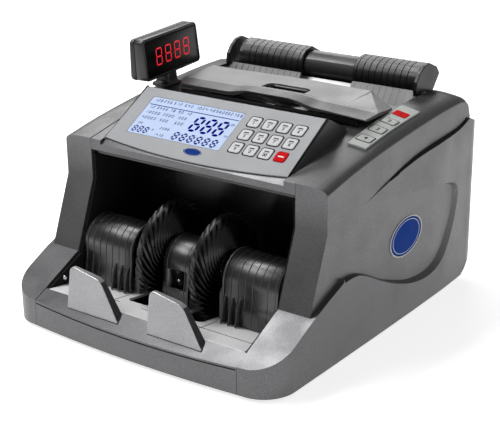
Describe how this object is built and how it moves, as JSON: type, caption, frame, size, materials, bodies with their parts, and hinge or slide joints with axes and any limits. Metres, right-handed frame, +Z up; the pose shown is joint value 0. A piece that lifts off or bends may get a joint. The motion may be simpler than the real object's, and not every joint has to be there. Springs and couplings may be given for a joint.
{
  "type": "banknote counting machine",
  "caption": "Desktop banknote counter with rear hopper, fan-wheel stacker, sloping keypad and LCD panel, swivelling customer display and sliding note guides.",
  "frame": {"origin": "centre of the footprint at the level of the feet's undersides", "axes": "+X to the operator's right, +Y from the operator's side to the rear, +Z up"},
  "size_m": [0.256, 0.3072, 0.2009],
  "materials": {
    "casing_grey": "satin metallic-effect paint",
    "tray_grey": "satin",
    "overlay_silver": "satin printed film",
    "lcd_blue": "backlit display glass",
    "key_white": "satin",
    "key_red": "satin",
    "key_grey": "satin",
    "black_plastic": "moulded, light sheen",
    "rubber_black": "matte",
    "steel": "brushed",
    "silver_sheet": "bright satin",
    "board_green": "solder mask"
  },
  "bodies": {
    "root": {"side_cover_left": "casing_grey", "side_cover_right": "casing_grey", "front_apron": "casing_grey", "top_cover": "casing_grey", "rear_cover": "casing_grey", "stacker_tray": "tray_grey", "panel_overlay": "overlay_silver", "lcd_window": "lcd_blue", "side_key_strip": "key_grey", "pocket_wall_left": "black_plastic", "pocket_wall_right": "black_plastic", "pocket_lining": "black_plastic", "stacker_shell_left": "black_plastic", "stacker_shell_centre": "black_plastic", "stacker_shell_right": "black_plastic", "display_stalk": "black_plastic", "hopper_bar": "black_plastic", "power_inlet": "black_plastic", "foot_front_left": "rubber_black", "foot_front_right": "rubber_black", "foot_rear_left": "rubber_black", "foot_rear_right": "rubber_black", "drive_belt": "rubber_black", "retard_block": "rubber_black", "base_plate": "steel", "main_motor": "steel", "frame_plate_left": "steel", "frame_plate_right": "steel", "hopper_floor": "silver_sheet", "main_board": "board_green"},
    "key_1": {"panel_key_1": "key_white"},
    "key_2": {"panel_key_2": "key_white"},
    "key_3": {"panel_key_3": "key_white"},
    "key_4": {"panel_key_4": "key_white"},
    "key_5": {"panel_key_5": "key_white"},
    "key_6": {"panel_key_6": "key_white"},
    "key_7": {"panel_key_7": "key_white"},
    "key_8": {"panel_key_8": "key_white"},
    "key_9": {"panel_key_9": "key_white"},
    "key_10": {"panel_key_10": "key_white"},
    "key_11": {"panel_key_11": "key_white"},
    "key_12": {"panel_key_12": "key_red"},
    "side_button_1": {"side_key_1": "key_red"},
    "side_button_2": {"side_key_2": "key_grey"},
    "side_button_3": {"side_key_3": "key_grey"},
    "side_button_4": {"side_key_4": "key_grey"},
    "customer_display": {"display_housing": "black_plastic"},
    "hatch": {"hopper_cover": "casing_grey"},
    "gap_screw": {"gap_adjust_knob": "black_plastic"},
    "guide_left": {"hopper_guide_left": "black_plastic"},
    "guide_right": {"hopper_guide_right": "black_plastic"},
    "stop_left": {"stop_plate_left": "casing_grey"},
    "stop_right": {"stop_plate_right": "casing_grey"},
    "feed_drum": {"feed_shaft": "rubber_black"},
    "fan_rotor": {"fan_shaft": "steel", "fan_wheel_left": "rubber_black", "fan_wheel_right": "rubber_black"},
    "pickup_drum": {"pickup_shaft": "rubber_black"},
    "motor_spindle": {"motor_rotor": "steel"},
    "rocker": {"power_rocker": "key_red"}
  },
  "joints": [
    {"name": "key_1_press", "type": "slide", "parent": "root", "child": "key_1", "axis": [0, 0.503, -0.8643], "range_m": [0, 0.0005], "stiffness_N_per_m": 800, "springref_m": -0.0006},
    {"name": "key_2_press", "type": "slide", "parent": "root", "child": "key_2", "axis": [0, 0.503, -0.8643], "range_m": [0, 0.0005], "stiffness_N_per_m": 800, "springref_m": -0.0006},
    {"name": "key_3_press", "type": "slide", "parent": "root", "child": "key_3", "axis": [0, 0.503, -0.8643], "range_m": [0, 0.0005], "stiffness_N_per_m": 800, "springref_m": -0.0006},
    {"name": "key_4_press", "type": "slide", "parent": "root", "child": "key_4", "axis": [0, 0.503, -0.8643], "range_m": [0, 0.0005], "stiffness_N_per_m": 800, "springref_m": -0.0006},
    {"name": "key_5_press", "type": "slide", "parent": "root", "child": "key_5", "axis": [0, 0.503, -0.8643], "range_m": [0, 0.0005], "stiffness_N_per_m": 800, "springref_m": -0.0006},
    {"name": "key_6_press", "type": "slide", "parent": "root", "child": "key_6", "axis": [0, 0.503, -0.8643], "range_m": [0, 0.0005], "stiffness_N_per_m": 800, "springref_m": -0.0006},
    {"name": "key_7_press", "type": "slide", "parent": "root", "child": "key_7", "axis": [0, 0.503, -0.8643], "range_m": [0, 0.0005], "stiffness_N_per_m": 800, "springref_m": -0.0006},
    {"name": "key_8_press", "type": "slide", "parent": "root", "child": "key_8", "axis": [0, 0.503, -0.8643], "range_m": [0, 0.0005], "stiffness_N_per_m": 800, "springref_m": -0.0006},
    {"name": "key_9_press", "type": "slide", "parent": "root", "child": "key_9", "axis": [0, 0.503, -0.8643], "range_m": [0, 0.0005], "stiffness_N_per_m": 800, "springref_m": -0.0006},
    {"name": "key_10_press", "type": "slide", "parent": "root", "child": "key_10", "axis": [0, 0.503, -0.8643], "range_m": [0, 0.0005], "stiffness_N_per_m": 800, "springref_m": -0.0006},
    {"name": "key_11_press", "type": "slide", "parent": "root", "child": "key_11", "axis": [0, 0.503, -0.8643], "range_m": [0, 0.0005], "stiffness_N_per_m": 800, "springref_m": -0.0006},
    {"name": "key_12_press", "type": "slide", "parent": "root", "child": "key_12", "axis": [0, 0.503, -0.8643], "range_m": [0, 0.0005], "stiffness_N_per_m": 800, "springref_m": -0.0006},
    {"name": "side_key_1_press", "type": "slide", "parent": "root", "child": "side_button_1", "axis": [-0.1877, 0.0881, -0.9783], "range_m": [0, 0.0005], "stiffness_N_per_m": 800, "springref_m": -0.0006},
    {"name": "side_key_2_press", "type": "slide", "parent": "root", "child": "side_button_2", "axis": [-0.1941, 0.0881, -0.977], "range_m": [0, 0.0005], "stiffness_N_per_m": 800, "springref_m": -0.0006},
    {"name": "side_key_3_press", "type": "slide", "parent": "root", "child": "side_button_3", "axis": [-0.1738, 0.1542, -0.9726], "range_m": [0, 0.0005], "stiffness_N_per_m": 800, "springref_m": -0.0006},
    {"name": "side_key_4_press", "type": "slide", "parent": "root", "child": "side_button_4", "axis": [-0.1358, 0.1542, -0.9787], "range_m": [0, 0.0005], "stiffness_N_per_m": 800, "springref_m": -0.0006},
    {"name": "display_swivel", "type": "hinge", "parent": "root", "child": "customer_display", "pos_m": [-0.1064, 0.0272, 0.1854], "axis": [0, 0, 1], "range_deg": [-99, 81]},
    {"name": "hatch_hinge", "type": "hinge", "parent": "root", "child": "hatch", "pos_m": [0, 0.0696, 0.165], "axis": [-1, 0, 0], "range_deg": [0, 75]},
    {"name": "gap_screw_turn", "type": "hinge", "parent": "root", "child": "gap_screw", "pos_m": [0.012, 0.0306, 0.159], "axis": [0, 0, 1], "range_deg": [-180, 180]},
    {"name": "guide_left_slide", "type": "slide", "parent": "root", "child": "guide_left", "axis": [1, 0, 0], "range_m": [0, 0.022]},
    {"name": "guide_right_slide", "type": "slide", "parent": "root", "child": "guide_right", "axis": [-1, 0, 0], "range_m": [0, 0.022]},
    {"name": "stop_left_slide", "type": "slide", "parent": "root", "child": "stop_left", "axis": [0, 0.9001, 0.4357], "range_m": [0, 0.006]},
    {"name": "stop_right_slide", "type": "slide", "parent": "root", "child": "stop_right", "axis": [0, 0.9001, 0.4357], "range_m": [0, 0.006]},
    {"name": "feed_spin", "type": "hinge", "parent": "root", "child": "feed_drum", "pos_m": [0, 0.0296, 0.093], "axis": [1, 0, 0], "continuous": true},
    {"name": "fan_spin", "type": "hinge", "parent": "root", "child": "fan_rotor", "pos_m": [0, -0.0694, 0.055], "axis": [1, 0, 0], "continuous": true},
    {"name": "pickup_spin", "type": "hinge", "parent": "root", "child": "pickup_drum", "pos_m": [0, 0.0556, 0.107], "axis": [1, 0, 0], "continuous": true},
    {"name": "motor_spin", "type": "hinge", "parent": "root", "child": "motor_spindle", "pos_m": [0, 0.0216, 0.035], "axis": [1, 0, 0], "continuous": true},
    {"name": "power_rocker_tilt", "type": "hinge", "parent": "root", "child": "rocker", "pos_m": [-0.0292, 0.148, 0.0405], "axis": [1, 0, 0], "range_deg": [0, 12]}
  ],
  "couplings": [
    {"joint": "stop_right_slide", "follows": "stop_left_slide", "ratio": 1},
    {"joint": "fan_spin", "follows": "feed_spin", "ratio": 1.0667},
    {"joint": "pickup_spin", "follows": "feed_spin", "ratio": 1.6},
    {"joint": "motor_spin", "follows": "feed_spin", "ratio": 1.7778}
  ]
}
